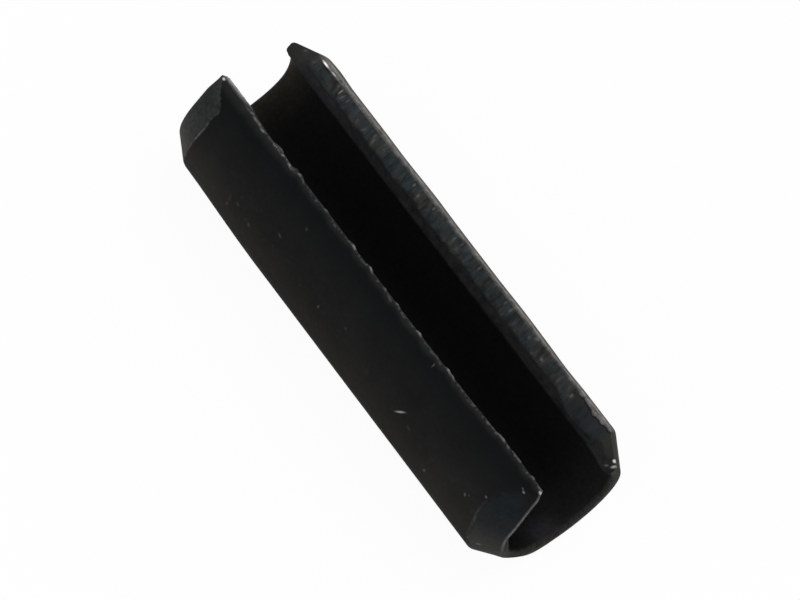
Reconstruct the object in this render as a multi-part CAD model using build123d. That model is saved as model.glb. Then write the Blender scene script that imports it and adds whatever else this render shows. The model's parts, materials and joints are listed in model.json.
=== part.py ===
"""Slotted spring pin, 6 x 20 mm, in its free state.

A strip of spring steel is rolled into a C, so the pin is one piece. It lies along X with the middle
of its slot straight up (+Z), and its origin is the middle of its own axis. Angles round the pin are
counted from the middle of the slot, positive towards +Y.
"""

from build123d import *
import math
import os

# Driving dimensions, in millimetres and degrees.
FREE_DIAMETER = 6.7        # outside, before the pin is squeezed into its 6 mm hole
LENGTH = 19.9              # over both ends, within the 0.5 mm that a 20 mm pin is allowed
WALL = 1.0                 # thickness of the rolled strip
SLOT_ANGLE = 73.0          # between the two sheared edges of the strip

# Swaged ends: each is pressed into a blunt cone, so that the pin starts in its hole.
FRONT_SWAGE_LENGTH = 1.30  # the +X end
FRONT_TIP_RADIUS = 2.60
BACK_SWAGE_LENGTH = 1.14   # the -X end
BACK_TIP_RADIUS = 2.71
CREASE_ROUND = 0.35        # bend between the cylinder and the cone
TIP_ROUND = 0.05           # rounding between the cone and the end face
BORE_SQUEEZE = 0.10        # how much the swage closes the bore, on the radius
LIP_ROUND = 0.20           # rounding between the bore and the end face

# Run-out: on the -Y wall the cone flattens before the slot and leaves the corner at full height.
RUNOUT_ANGLE = 33.0        # from the slot's edge to where the cone starts to flatten
FRONT_SET_BACK = 0.26      # how far the strip's end draws back at that corner
BACK_SET_BACK = 0.12
SET_BACK_ANGLE = 66.0      # from the slot's edge to where the end is square again

# Lean: at the same front corner the end also leans inwards, as if cut by a shallow cone.
LEAN_ANGLE = 8.5           # from the slot's edge to the axis of that cone
LEAN_CENTRE = 1.50         # from the pin's axis to the axis of that cone
LEAN_REACH = 1.45          # radius of that cone where it meets the end
LEAN_SLOPE = 0.42          # how deep it goes for each millimetre inwards

# Sheared edges of the strip, which face each other across the slot.
SHEAR_LAND = 0.63          # smooth cut part of the edge, from the outside inwards
BREAK_DEPTH = 0.045        # how far the torn part beyond the land lies back at the bore
OUTER_EDGE_ROUND = 0.07    # rolled over by the shear

NODE = "spring_pin"
FRONT = 1
BACK = -1
MINUS_Y = -1
PLUS_Y = 1

outer_radius = FREE_DIAMETER / 2
bore_radius = outer_radius - WALL
half_length = LENGTH / 2
half_slot = SLOT_ANGLE / 2
swage_length = {FRONT: FRONT_SWAGE_LENGTH, BACK: BACK_SWAGE_LENGTH}
tip_radius = {FRONT: FRONT_TIP_RADIUS, BACK: BACK_TIP_RADIUS}
set_back = {FRONT: FRONT_SET_BACK, BACK: BACK_SET_BACK}
SAME = 1e-4                # points nearer than this are one point


def outward(angle):
    """The unit vector away from the pin's axis, at an angle from the middle of the slot."""
    turn = math.radians(angle)
    return Vector(0, math.sin(turn), math.cos(turn))


def across(angle):
    """The unit vector round the pin, towards +Y, at an angle from the middle of the slot."""
    turn = math.radians(angle)
    return Vector(0, math.cos(turn), -math.sin(turn))


def turned(face, arc):
    """Turn a face of X and radius round the pin, from the -Y edge of the slot, through an arc."""
    start = face.rotate(Axis.X, 90 + half_slot)
    return revolve(start, axis=Axis.X, revolution_arc=arc)


def rounded(face, corners, radius):
    """Round the corners of a flat face that stand at the given points."""
    picked = [
        vertex
        for vertex in face.vertices()
        if any(math.dist((vertex.X, vertex.Y), corner) < SAME for corner in corners)
    ]
    return fillet(picked, radius)


def wall_profile():
    """The wall cut along the pin's axis: X runs along the pin, Y is the distance from its axis."""
    crease = {end: (end * (half_length - swage_length[end]), outer_radius) for end in (FRONT, BACK)}
    throat = {end: (crease[end][0], bore_radius) for end in (FRONT, BACK)}
    tip = {end: (end * half_length, tip_radius[end]) for end in (FRONT, BACK)}
    mouth = {end: (end * half_length, bore_radius - BORE_SQUEEZE) for end in (FRONT, BACK)}
    outline = Polyline(
        crease[BACK], crease[FRONT], tip[FRONT], mouth[FRONT],
        throat[FRONT], throat[BACK], mouth[BACK], tip[BACK],
        close=True,
    )
    face = make_face(outline)
    face = rounded(face, tip.values(), TIP_ROUND)
    return rounded(face, mouth.values(), LIP_ROUND)


def full_height_corner(end):
    """The corner of the -Y wall that the swage misses, under a flat that runs on from the cone."""
    depth = outer_radius - tip_radius[end]
    crease_x = half_length - swage_length[end]
    root = tip_radius[end] - WALL / 4
    block = turned(
        make_face(
            Polyline(
                (end * crease_x, root), (end * half_length, root),
                (end * half_length, outer_radius), (end * crease_x, outer_radius),
                close=True,
            )
        ),
        RUNOUT_ANGLE,
    )
    slope = math.atan2(depth, swage_length[end])
    away = outward(-half_slot - RUNOUT_ANGLE)
    touch = Vector(end * crease_x, 0, 0) + away * outer_radius
    normal = Vector(end * math.sin(slope), 0, 0) + away * math.cos(slope)
    return split(block, bisect_by=Plane(origin=touch, z_dir=normal), keep=Keep.BOTTOM)


def end_trim(end):
    """The slanting plane that draws the strip's end back towards its corner on the -Y wall."""
    away = outward(-half_slot)
    near = tip_radius[end] * math.cos(math.radians(SET_BACK_ANGLE))
    slant = math.atan2(set_back[end], outer_radius - near)
    hinge = Vector(end * half_length, 0, 0) + away * near
    normal = Vector(end * math.cos(slant), 0, 0) + away * math.sin(slant)
    return Plane(origin=hinge, z_dir=normal)


def inward_lean(end):
    """The shallow cone that leans the strip's end inwards at its corner on the -Y wall."""
    trim = end_trim(end)
    away = outward(-half_slot - LEAN_ANGLE)
    centre = trim.to_local_coords(Vector(end * half_length, 0, 0) + away * LEAN_CENTRE)
    depth = LEAN_REACH * LEAN_SLOPE
    cone = Cone(2 * LEAN_REACH, 0, 2 * depth, align=(Align.CENTER, Align.CENTER, Align.MIN))
    return trim * Pos(centre.X, centre.Y, depth) * Rot(180, 0, 0) * cone


def torn_strip(side):
    """The sliver that the shear tears from the inner part of one edge, as a prism along the pin."""
    into_wall = across(side * half_slot) * side
    away = outward(side * half_slot)
    land_end = away * (outer_radius - SHEAR_LAND)
    beyond = away * (bore_radius - BORE_SQUEEZE - WALL / 4)
    run = SHEAR_LAND - WALL - BORE_SQUEEZE - WALL / 4
    depth = BREAK_DEPTH * run / (SHEAR_LAND - WALL)
    overhang = into_wall * -BREAK_DEPTH
    corners = (land_end, beyond + into_wall * depth, beyond + overhang, land_end + overhang)
    start = Vector(-LENGTH, 0, 0)
    face = Face(Wire.make_polygon([start + corner for corner in corners], close=True))
    return extrude(face, amount=2 * LENGTH, dir=(1, 0, 0))


def distance_from_axis(edge, share):
    """How far an edge is from the pin's axis, at a share of its length."""
    point = edge.position_at(share)
    return math.hypot(point.Y, point.Z)


def crease_edges(body):
    """Where the cones and their flats meet the cylinder."""
    return [
        edge
        for edge in body.edges()
        if edge.geom_type != GeomType.LINE
        and all(abs(distance_from_axis(edge, k / 4) - outer_radius) < SAME for k in range(5))
    ]


def rolled_edges(body):
    """The outer edges of the sheared faces, from one end of the slot to the other."""
    found = []
    for side in (MINUS_Y, PLUS_Y):
        away = outward(side * half_slot)
        sideways = across(side * half_slot)
        for edge in body.edges():
            start, middle, end = (edge.position_at(share) for share in (0, 0.5, 1))
            on_face = middle.dot(away) > 0 and abs(middle.dot(sideways)) < SAME
            lengthwise = abs(end.X - start.X) > abs((end - start).dot(away))
            outside = distance_from_axis(edge, 0.5) > min(tip_radius.values())
            if on_face and lengthwise and outside:
                found.append(edge)
    return found


def spring_pin():
    """The whole pin, as one solid."""
    body = turned(wall_profile(), 360 - SLOT_ANGLE)
    for end in (FRONT, BACK):
        body = body + full_height_corner(end)
        body = split(body, bisect_by=end_trim(end), keep=Keep.BOTTOM)
    body = fillet(crease_edges(body), CREASE_ROUND)
    body = fillet(rolled_edges(body), OUTER_EDGE_ROUND)
    for side in (MINUS_Y, PLUS_Y):
        body = body - torn_strip(side)
    return body - inward_lean(FRONT)


pin = spring_pin()
os.makedirs("parts", exist_ok=True)
export_step(pin, f"parts/{NODE}.step")
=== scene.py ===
"""Slotted spring pin: the looks of a black-oxide steel pin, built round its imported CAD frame.

The pin is a strip of spring steel, sheared to width and rolled into a C, with both ends swaged to
blunt cones. It lies along X with the middle of its slot straight up. One closed mesh, made with
geometry nodes, stands for the whole strip, and one finish covers it. Inside the node trees lengths
are millimetres and angles are degrees, counted from the middle of the slot, down the -Y wall,
under the pin and up the +Y wall.
"""

from __future__ import annotations

import json
import logging
import math
from dataclasses import dataclass, field, replace
from enum import Enum
from typing import Any, Mapping, Optional, Sequence, Union

import bpy
from mathutils import Matrix, Vector


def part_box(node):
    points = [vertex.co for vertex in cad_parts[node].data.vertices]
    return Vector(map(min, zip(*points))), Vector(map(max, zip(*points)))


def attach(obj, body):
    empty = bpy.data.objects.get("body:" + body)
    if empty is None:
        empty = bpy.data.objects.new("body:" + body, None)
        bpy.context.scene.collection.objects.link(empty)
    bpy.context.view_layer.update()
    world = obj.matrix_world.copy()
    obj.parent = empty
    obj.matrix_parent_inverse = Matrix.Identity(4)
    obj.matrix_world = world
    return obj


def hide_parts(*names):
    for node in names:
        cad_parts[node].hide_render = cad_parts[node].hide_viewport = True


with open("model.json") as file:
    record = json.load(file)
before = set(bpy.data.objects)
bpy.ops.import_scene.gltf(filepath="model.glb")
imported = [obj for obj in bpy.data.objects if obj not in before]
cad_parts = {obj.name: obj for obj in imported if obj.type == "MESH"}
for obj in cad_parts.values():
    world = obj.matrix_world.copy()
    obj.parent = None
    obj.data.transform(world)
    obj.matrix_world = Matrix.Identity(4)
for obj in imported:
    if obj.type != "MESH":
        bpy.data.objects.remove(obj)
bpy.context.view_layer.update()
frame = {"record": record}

NODE = "spring_pin"
BODY = "root"
MM = 0.001
STORED = (
    "depth", "past_land", "from_minus", "from_plus", "from_end", "past_crease", "end_face",
    "minus_burr",
)

log = logging.getLogger("spring_pin")

Number = Union["Wire", float]
Colour = tuple[float, float, float]


class End(Enum):
    """The two ends of the pin, by the sign of X."""

    FRONT = 1
    BACK = -1


class Wall(Enum):
    """The two sheared edges of the strip, by the sign of Y."""

    MINUS_Y = -1
    PLUS_Y = 1


# ------------------------------------------------------------------------------------- node trees


class Wire:
    """One value on its way through a node tree, so that node maths reads as arithmetic."""

    def __init__(self, graph: Graph, socket: bpy.types.NodeSocket) -> None:
        """Hold a node's output and the graph that the node belongs to."""
        self.graph = graph
        self.socket = socket

    def output(self, name: Union[str, int]) -> Wire:
        """Another output of the same node."""
        return Wire(self.graph, self.socket.node.outputs[name])

    def __add__(self, other: Number) -> Wire:
        """Self plus other."""
        return self.graph.maths("ADD", self, other)

    __radd__ = __add__

    def __sub__(self, other: Number) -> Wire:
        """Self minus other."""
        return self.graph.maths("SUBTRACT", self, other)

    def __rsub__(self, other: Number) -> Wire:
        """Other minus self."""
        return self.graph.maths("SUBTRACT", other, self)

    def __mul__(self, other: Number) -> Wire:
        """Self times other."""
        return self.graph.maths("MULTIPLY", self, other)

    __rmul__ = __mul__

    def __truediv__(self, other: Number) -> Wire:
        """Self over other."""
        return self.graph.maths("DIVIDE", self, other)

    def __rtruediv__(self, other: Number) -> Wire:
        """Other over self."""
        return self.graph.maths("DIVIDE", other, self)

    def __pow__(self, power: Number) -> Wire:
        """Self to a power."""
        return self.graph.maths("POWER", self, power)

    def __abs__(self) -> Wire:
        """Self without its sign."""
        return self.graph.maths("ABSOLUTE", self)


class Graph:
    """Builds one node tree, in a material or in a geometry group."""

    def __init__(self, tree: bpy.types.NodeTree) -> None:
        """Take a tree to fill, and remove the nodes already in it."""
        self.tree = tree
        tree.nodes.clear()

    def place(
        self,
        kind: str,
        settings: Optional[Mapping[str, Any]] = None,
        sockets: Optional[Mapping[Union[str, int], Any]] = None,
    ) -> bpy.types.Node:
        """Add any node.

        Args:
            kind: The node's type name.
            settings: Its own settings, set first. "stops" gives a ramp's positions and colours.
            sockets: Values or wires, by the input's name or number.

        Returns:
            The node.
        """
        node = self.tree.nodes.new(kind)
        for name, value in (settings or {}).items():
            if name == "stops":
                self._set_stops(node.color_ramp, value)
            else:
                setattr(node, name, value)
        for name, value in (sockets or {}).items():
            if isinstance(value, Wire):
                self.tree.links.new(value.socket, node.inputs[name])
            else:
                node.inputs[name].default_value = value
        return node

    def add(
        self,
        kind: str,
        settings: Optional[Mapping[str, Any]] = None,
        sockets: Optional[Mapping[Union[str, int], Any]] = None,
        output: Union[str, int] = 0,
    ) -> Wire:
        """Add any node, as place does, and return one of its outputs."""
        return Wire(self, self.place(kind, settings, sockets).outputs[output])

    @staticmethod
    def _set_stops(ramp: bpy.types.ColorRamp, stops: Sequence[tuple[float, Colour]]) -> None:
        """Give a colour ramp its stops.

        Args:
            ramp: The ramp of a Color Ramp node.
            stops: Positions from 0 to 1, with their colours.
        """
        while len(ramp.elements) < len(stops):
            ramp.elements.new(1.0)
        for element, (position, colour) in zip(ramp.elements, stops):
            element.position = position
            element.color = (*colour, 1.0)

    def maths(self, operation: str, *values: Number) -> Wire:
        """A Math node on the given values."""
        return self.add("ShaderNodeMath", {"operation": operation}, dict(enumerate(values)))

    def least(self, a: Number, b: Number) -> Wire:
        """The smaller of two values."""
        return self.maths("MINIMUM", a, b)

    def most(self, a: Number, b: Number) -> Wire:
        """The larger of two values."""
        return self.maths("MAXIMUM", a, b)

    def clamp(self, value: Number) -> Wire:
        """A value kept between 0 and 1."""
        return self.add("ShaderNodeClamp", None, {"Value": value})

    def step(self, value: Number, start: Number, stop: Number) -> Wire:
        """Rise smoothly from 0 at start to 1 at stop. Start may be the larger.

        Args:
            value: The value that the rise follows.
            start: Where it is still 0.
            stop: Where it has reached 1.

        Returns:
            The share, from 0 to 1.
        """
        return self.add(
            "ShaderNodeMapRange",
            {"interpolation_type": "SMOOTHSTEP"},
            {"Value": value, "From Min": start, "From Max": stop},
        )

    def bell(self, value: Number, centre: Number, reach: Number) -> Wire:
        """A smooth hump, 1 at the centre and 0 from the given reach outwards."""
        return self.step(abs(self.maths("SUBTRACT", value, centre)), reach, 0.0)

    def mix(self, share: Number, a: Number, b: Number) -> Wire:
        """From a to b by the given share."""
        return self.add("ShaderNodeMix", {"data_type": "FLOAT"}, {0: share, 2: a, 3: b})

    def blend(self, share: Number, a: Union[Wire, Colour], b: Union[Wire, Colour]) -> Wire:
        """From colour a to colour b by the given share.

        Args:
            share: How much of b there is, from 0 to 1.
            a: A colour or a wire that carries one.
            b: Another.

        Returns:
            The blended colour.
        """
        colours = [c if isinstance(c, Wire) else (*c, 1.0) for c in (a, b)]
        sockets = {0: share, 6: colours[0], 7: colours[1]}
        return self.add("ShaderNodeMix", {"data_type": "RGBA"}, sockets, output=2)

    def scale(self, vector: Union[Wire, Colour], factor: Number) -> Wire:
        """A vector or a colour times a number."""
        settings = {"operation": "SCALE"}
        return self.add("ShaderNodeVectorMath", settings, {0: vector, "Scale": factor})

    def dot(self, vector: Wire, direction: tuple[float, float, float]) -> Wire:
        """A vector's reach along a direction."""
        settings = {"operation": "DOT_PRODUCT"}
        return self.add("ShaderNodeVectorMath", settings, {0: vector, 1: direction}, "Value")

    def vector(self, x: Number, y: Number, z: Number) -> Wire:
        """A vector from its three parts."""
        return self.add("ShaderNodeCombineXYZ", None, {0: x, 1: y, 2: z})

    def parts(self, vector: Wire) -> tuple[Wire, Wire, Wire]:
        """The three parts of a vector."""
        x = self.add("ShaderNodeSeparateXYZ", None, {0: vector})
        return x, x.output(1), x.output(2)

    def noise(self, place: Wire, scale: float, detail: float = 2.0, rough: float = 0.5) -> Wire:
        """Cloudy noise between about 0.25 and 0.75, read at a vector."""
        sockets = {"Vector": place, "Scale": scale, "Detail": detail, "Roughness": rough}
        return self.add("ShaderNodeTexNoise", {"noise_dimensions": "3D"}, sockets)

    def ripple(self, place: Number, scale: float, detail: float = 2.0) -> Wire:
        """Noise along a line, from about -1 to 1.

        Args:
            place: The place on the line.
            scale: How fine the noise is.
            detail: How many finer layers it has.

        Returns:
            The noise there.
        """
        raw = self.add(
            "ShaderNodeTexNoise",
            {"noise_dimensions": "1D"},
            {"W": place, "Scale": scale, "Detail": detail},
        )
        return (raw - 0.5) * 3.0

    def varied(self, noise: Wire, amount: Number) -> Wire:
        """A factor that varies about 1 with the noise, by the given amount."""
        return (noise - 0.5) * amount + 1.0

    def rounding(self, distance: Wire, radius: Number) -> Wire:
        """How far a round of the given radius falls away, at a distance from the edge.

        Args:
            distance: The distance in from the edge.
            radius: The radius of the round.

        Returns:
            The fall, which is the radius at the edge itself.
        """
        inside = self.most(self.maths("SUBTRACT", radius, distance), 0.0)
        square = self.maths("MULTIPLY", radius, radius) - inside * inside
        return self.maths("SUBTRACT", radius, self.maths("SQRT", self.most(square, 0.0)))


# ----------------------------------------------------------------------------------------- the pin


@dataclass(frozen=True)
class Hump:
    """A change that swells and fades along a line or round the pin."""

    centre: float
    reach: float
    height: float

    def at(self, graph: Graph, value: Number) -> Wire:
        """The hump's height at a value."""
        return graph.bell(value, self.centre, self.reach) * self.height


@dataclass(frozen=True)
class Slide:
    """A change that comes in between two places and then stays."""

    start: float
    stop: float
    height: float

    def at(self, graph: Graph, value: Number) -> Wire:
        """The change at a value."""
        return graph.step(value, self.start, self.stop) * self.height


@dataclass(frozen=True)
class Fade:
    """A mask that rises smoothly from 0 at start to 1 at stop. Start may be the larger."""

    start: float
    stop: float

    def at(self, graph: Graph, value: Number) -> Wire:
        """The mask at a value."""
        return graph.step(value, self.start, self.stop)


@dataclass(frozen=True)
class Grain:
    """Cloudy noise of one coarseness: a larger scale is finer."""

    scale: float
    detail: float
    rough: float = 0.5

    def at(self, graph: Graph, place: Wire) -> Wire:
        """The noise at a vector."""
        return graph.noise(place, self.scale, self.detail, self.rough)


@dataclass(frozen=True)
class Ripple:
    """Unevenness along a line, read from its own stretch of noise."""

    start: float
    scale: float
    detail: float
    height: float

    def at(self, graph: Graph, line: Wire) -> Wire:
        """The height at a place on the line."""
        return graph.ripple(line + self.start, self.scale, self.detail) * self.height


@dataclass(frozen=True)
class Course:
    """A size that varies round the pin or along it: one base value and a few changes."""

    base: float
    changes: tuple[Union[Hump, Slide], ...] = ()

    def at(self, graph: Graph, value: Number) -> Number:
        """The size at a value: a plain number where nothing changes.

        Args:
            graph: The tree to add nodes to.
            value: The place or angle that the size follows.

        Returns:
            The size there.
        """
        total: Number = self.base
        for change in self.changes:
            total = change.at(graph, value) + total
        return total


@dataclass(frozen=True)
class Swell:
    """A low swelling or hollow of the outside: its fade round the pin and its height along it."""

    around: Hump
    along: Course

    def at(self, graph: Graph, angle: Wire, x: Wire) -> Wire:
        """The height at a place."""
        return self.around.at(graph, angle) * self.along.at(graph, x)


@dataclass(frozen=True)
class Swage:
    """One swaged end, in millimetres. Each course runs round the pin, in degrees.

    The flat starts at flat_from and runs on to the -Y edge. A crease shift moves the crease
    towards the end.
    """

    length: Course
    tip_radius: Course
    mouth_radius: Course
    set_back: Course
    flat_from: float
    lean: Course = Course(0.0)
    crease_shift: Course = Course(0.0)
    crease_round: float = 0.07
    tip_round: float = 0.05
    lip_round: float = 0.20


@dataclass(frozen=True)
class Edge:
    """One sheared edge of the strip. Its courses run along the pin, in millimetres.

    Burrs and the bulge stand out into the slot, at the outside and at the bore.
    """

    angle: Course
    burrs: tuple[Hump, ...]
    roll: Course
    seed: float
    bulge: Course = Course(0.0)
    deeper_land: Course = Course(0.0)


@dataclass(frozen=True)
class Places:
    """Where a vertex of the flat starting grid belongs on the strip."""

    along: Wire
    across: Wire
    depth: Wire
    cap: Wire
    back_rim: Wire
    front_rim: Wire


@dataclass(frozen=True)
class Point:
    """A vertex's position, and the named marks stored on it."""

    place: Wire
    marks: dict[str, Wire]


@dataclass(frozen=True)
class EdgeShift:
    """How one sheared edge leaves its radial plane."""

    shift: Wire
    roll: Wire
    corner: Wire
    burr: Wire
    past_land: Wire


@dataclass(frozen=True)
class EndPlane:
    """One end of the strip at one angle."""

    x: Wire
    tip: Wire
    length: Wire
    slope: Wire
    mouth: Number
    back: Wire


@dataclass(frozen=True)
class Section:
    """The wall at one place: its two radii, and how far the end and the crease are."""

    outside: Wire
    bore: Wire
    from_end: Wire
    past_crease: Wire


@dataclass
class SpringPin:
    """The rolled strip, swaged at both ends and sheared along its slot."""

    length: float
    radius: float
    wall: float

    rows: int = 400
    rim_rows: int = 6
    cap_rows: int = 7
    arc_columns: int = 84
    face_columns: int = 18
    rim_width: float = 0.12
    crowding_across: float = 0.78
    crowding_down: float = 1.25
    cap_inset: float = 0.05

    land: float = 0.60
    break_depth: float = 0.04
    break_step: float = 0.015
    break_roughness: float = 0.05
    break_grain: Grain = Grain(4.0, 4.0, 0.6)
    bore_burr: float = 0.07
    bore_burr_width: float = 0.30
    burr_height: float = 0.30
    least_roll: float = 0.02
    roll_ripple: Ripple = Ripple(0.0, 1.3, 3.0, 0.018)
    land_ripple: Ripple = Ripple(0.0, 0.9, 2.0, 0.08)
    edge_ripples: tuple[Ripple, ...] = (
        Ripple(40.0, 0.8, 4.0, 0.020),
        Ripple(90.0, 3.4, 3.0, 0.012),
    )

    ends: dict[End, Swage] = field(default_factory=dict)
    edges: dict[Wall, Edge] = field(default_factory=dict)
    swells: tuple[Swell, ...] = (
        Swell(Hump(124, 75, 1.0), Course(0.0, (Slide(-4.2, -9.2, -0.12),))),
        Swell(
            Hump(306, 45, 1.0),
            Course(
                0.0,
                (
                    Hump(-8.2, 0.9, 0.037), Hump(-4.2, 1.2, -0.012), Hump(-2.2, 1.4, 0.018),
                    Hump(3.2, 1.6, 0.019), Hump(5.8, 1.3, -0.025),
                ),
            ),
        ),
    )
    sway: float = 0.012
    sway_grain: Grain = Grain(1.0, 1.0)

    seed: float = 7.0
    merge_distance: float = 0.0003

    def __post_init__(self) -> None:
        """Fill in the two ends and the two edges."""
        self.ends = {End.FRONT: self._front_end(), End.BACK: self._back_end()}
        self.edges = {Wall.MINUS_Y: self._minus_edge(), Wall.PLUS_Y: self._plus_edge()}

    @staticmethod
    def _front_end() -> Swage:
        """The +X end: a cone with one hard flat on the -Y wall and a softer one lower down.

        Returns:
            The end's sizes.
        """
        return Swage(
            length=Course(1.30, (Slide(98, 72, 0.18), Hump(132, 30, -0.17))),
            tip_radius=Course(
                2.67,
                (
                    Slide(100, 72, -0.23), Hump(125, 24, -0.055), Hump(146, 34, -0.20),
                    Hump(180, 22, 0.08), Slide(262, 300, -0.06),
                ),
            ),
            mouth_radius=Course(2.25),
            set_back=Course(
                0.0,
                (
                    Slide(108, 84, 0.16), Slide(84, 36, 0.12), Slide(43, 34, 0.12),
                    Hump(128, 40, 0.05),
                ),
            ),
            lean=Course(0.0, (Slide(112, 88, 0.32),)),
            flat_from=71.0,
        )

    @staticmethod
    def _back_end() -> Swage:
        """The -X end: a cone with a flat on the -Y wall, and a mouth that is out of round.

        Returns:
            The end's sizes.
        """
        return Swage(
            length=Course(1.14, (Slide(260, 200, 0.11), Hump(103, 14, 0.05))),
            tip_radius=Course(2.68, (Slide(240, 300, 0.11), Slide(100, 70, -0.04))),
            mouth_radius=Course(
                2.20, (Hump(215, 52, -0.24), Slide(280, 308, 0.06), Slide(312, 324, 0.20))
            ),
            set_back=Course(0.0, (Slide(54, 36, 0.13),)),
            lip_round=0.14,
            flat_from=70.0,
            crease_shift=Course(0.0, (Hump(51.5, 9.0, 0.24),)),
        )

    @staticmethod
    def _minus_edge() -> Edge:
        """The edge on the -Y wall, where the shear left a burr standing up in spots.

        Returns:
            The edge's sizes.
        """
        return Edge(
            angle=Course(
                36.9,
                (
                    Slide(2.0, 10.6, -2.0), Hump(-3.4, 3.4, -0.50), Hump(5.2, 2.0, 0.35),
                    Hump(8.2, 1.4, -0.35),
                ),
            ),
            burrs=(
                Hump(-8.02, 0.42, 0.07), Hump(-7.62, 0.26, 0.05), Hump(-7.10, 0.25, 0.03),
                Hump(-6.40, 0.22, 0.03), Hump(-5.98, 0.30, 0.05), Hump(-5.50, 0.18, -0.03),
                Hump(-5.02, 0.32, 0.09), Hump(-3.95, 0.40, -0.03), Hump(-3.35, 0.26, 0.04),
                Hump(-2.72, 0.45, -0.04), Hump(-1.68, 0.42, 0.08), Hump(-0.60, 0.36, 0.08),
                Hump(0.40, 0.26, 0.04), Hump(0.82, 0.20, -0.05), Hump(1.18, 0.28, 0.05),
                Hump(1.85, 0.40, -0.04), Hump(2.53, 0.32, 0.07), Hump(3.12, 0.40, -0.05),
                Hump(3.65, 0.26, 0.03), Hump(4.30, 0.26, 0.08), Hump(4.62, 0.24, 0.05),
                Hump(5.02, 0.24, 0.03), Hump(5.70, 0.45, -0.03), Hump(7.62, 0.45, 0.06),
                Hump(8.60, 0.24, 0.02), Hump(9.05, 0.26, -0.04), Hump(9.50, 0.22, 0.05),
            ),
            roll=Course(0.055),
            bulge=Course(
                0.0,
                (Slide(-6.8, -8.8, 0.17), Hump(-6.55, 0.42, 0.12), Hump(-5.44, 0.20, 0.15)),
            ),
            seed=11.3,
        )

    @staticmethod
    def _plus_edge() -> Edge:
        """The edge on the +Y wall, rolled over evenly but for one knock near the -X end.

        Returns:
            The edge's sizes.
        """
        return Edge(
            angle=Course(323.3, (Slide(-16.0, 16.0, -2.6),)),
            burrs=(
                Hump(-5.90, 0.35, 0.03), Hump(-3.10, 0.40, 0.02), Hump(7.35, 0.26, 0.04),
                Hump(7.72, 0.22, 0.05), Hump(8.10, 0.25, 0.04), Hump(8.48, 0.20, 0.04),
            ),
            roll=Course(0.07, (Hump(-8.2, 0.7, 0.05),)),
            seed=53.9,
            deeper_land=Course(
                0.0, (Hump(7.6, 1.7, 0.24), Hump(8.95, 0.40, -0.10), Hump(9.50, 0.50, 0.12))
            ),
        )

    def build(self, finish: bpy.types.Material) -> bpy.types.Object:
        """Make the pin's mesh and dress it.

        Args:
            finish: The material of the whole strip.

        Returns:
            The pin as a plain mesh object, at the origin.
        """
        piece = bpy.data.objects.new(f"{NODE}_strip", bpy.data.meshes.new("flat_strip"))
        bpy.context.scene.collection.objects.link(piece)
        modifier = piece.modifiers.new("Rolled strip", "NODES")
        group, sizes = self._group(finish)
        modifier.node_group = group
        for name, value in sizes.items():
            modifier[group.interface.items_tree[name].identifier] = value
        depsgraph = bpy.context.evaluated_depsgraph_get()
        mesh = bpy.data.meshes.new_from_object(piece.evaluated_get(depsgraph))
        piece.modifiers.remove(modifier)
        piece.data = mesh
        return piece

    @property
    def _row_count(self) -> int:
        """Rows of faces from one end's middle to the other's."""
        return self.rows + 2 * (self.rim_rows + self.cap_rows)

    @property
    def _column_count(self) -> int:
        """Columns of faces once round the strip's section."""
        return 2 * (self.arc_columns + self.face_columns)

    def _group(self, finish: bpy.types.Material) -> tuple[bpy.types.NodeTree, dict[str, float]]:
        """The node group that makes the strip, and the values of its named inputs.

        Args:
            finish: The material of the whole strip.

        Returns:
            The group, and the value of each input by its name.
        """
        group = bpy.data.node_groups.new("Rolled strip", "GeometryNodeTree")
        graph = Graph(group)
        sizes = {
            "Length": self.length,
            "Free radius": self.radius,
            "Wall": self.wall,
            "Shear land": self.land,
            "Break depth": self.break_depth,
            "Break roughness": self.break_roughness,
            "Sway": self.sway,
            "Seed": self.seed,
        }
        for name in sizes:
            group.interface.new_socket(name, in_out="INPUT", socket_type="NodeSocketFloat")
        group.interface.new_socket("Strip", in_out="OUTPUT", socket_type="NodeSocketGeometry")
        source = graph.place("NodeGroupInput")
        size = {name: Wire(graph, source.outputs[name]) for name in sizes}

        point = self._point(graph, self._places(graph), size)
        grid = {
            "Size X": 1.0,
            "Size Y": 1.0,
            "Vertices X": self._row_count + 1,
            "Vertices Y": self._column_count + 1,
        }
        strip = graph.add("GeometryNodeMeshGrid", None, grid)
        for name, value in point.marks.items():
            strip = graph.add(
                "GeometryNodeStoreNamedAttribute",
                {"data_type": "FLOAT", "domain": "POINT"},
                {"Geometry": strip, "Name": name, "Value": value},
            )
        metres = graph.scale(point.place, MM)
        strip = graph.add("GeometryNodeSetPosition", None, {"Geometry": strip, "Position": metres})
        strip = graph.add(
            "GeometryNodeMergeByDistance",
            None,
            {"Geometry": strip, "Distance": self.merge_distance * MM},
        )
        strip = graph.add("GeometryNodeFlipFaces", None, {"Mesh": strip})
        strip = graph.add("GeometryNodeSetShadeSmooth", None, {"Geometry": strip})
        strip = graph.add("GeometryNodeRealizeInstances", None, {"Geometry": strip})
        strip = graph.add("GeometryNodeSetMaterial", None, {"Geometry": strip, "Material": finish})
        graph.place("NodeGroupOutput", None, {"Strip": strip})
        return group, sizes

    def _places(self, graph: Graph) -> Places:
        """Read each grid vertex's place on the strip.

        The grid's rows run along the pin, closer at its two rims, with the cap rows of both ends
        outside them. Its columns go once round the strip's section: over the outside, down the +Y
        edge, back through the bore and up the -Y edge.

        Args:
            graph: The tree to add nodes to.

        Returns:
            Each vertex's shares along the pin, across the strip and through the wall.
        """
        x, y, _ = graph.parts(graph.add("GeometryNodeInputPosition"))
        row = (x + 0.5) * self._row_count
        to_front = self._row_count - row
        column = (y + 0.5) * self._column_count

        margin = self.cap_rows + self.rim_rows
        along = graph.clamp((row - margin) / self.rows)
        back_rim = graph.clamp((row - self.cap_rows) / self.rim_rows)
        front_rim = graph.clamp((to_front - self.cap_rows) / self.rim_rows)
        cap = graph.clamp(graph.least(row, to_front) / self.cap_rows)

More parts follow.
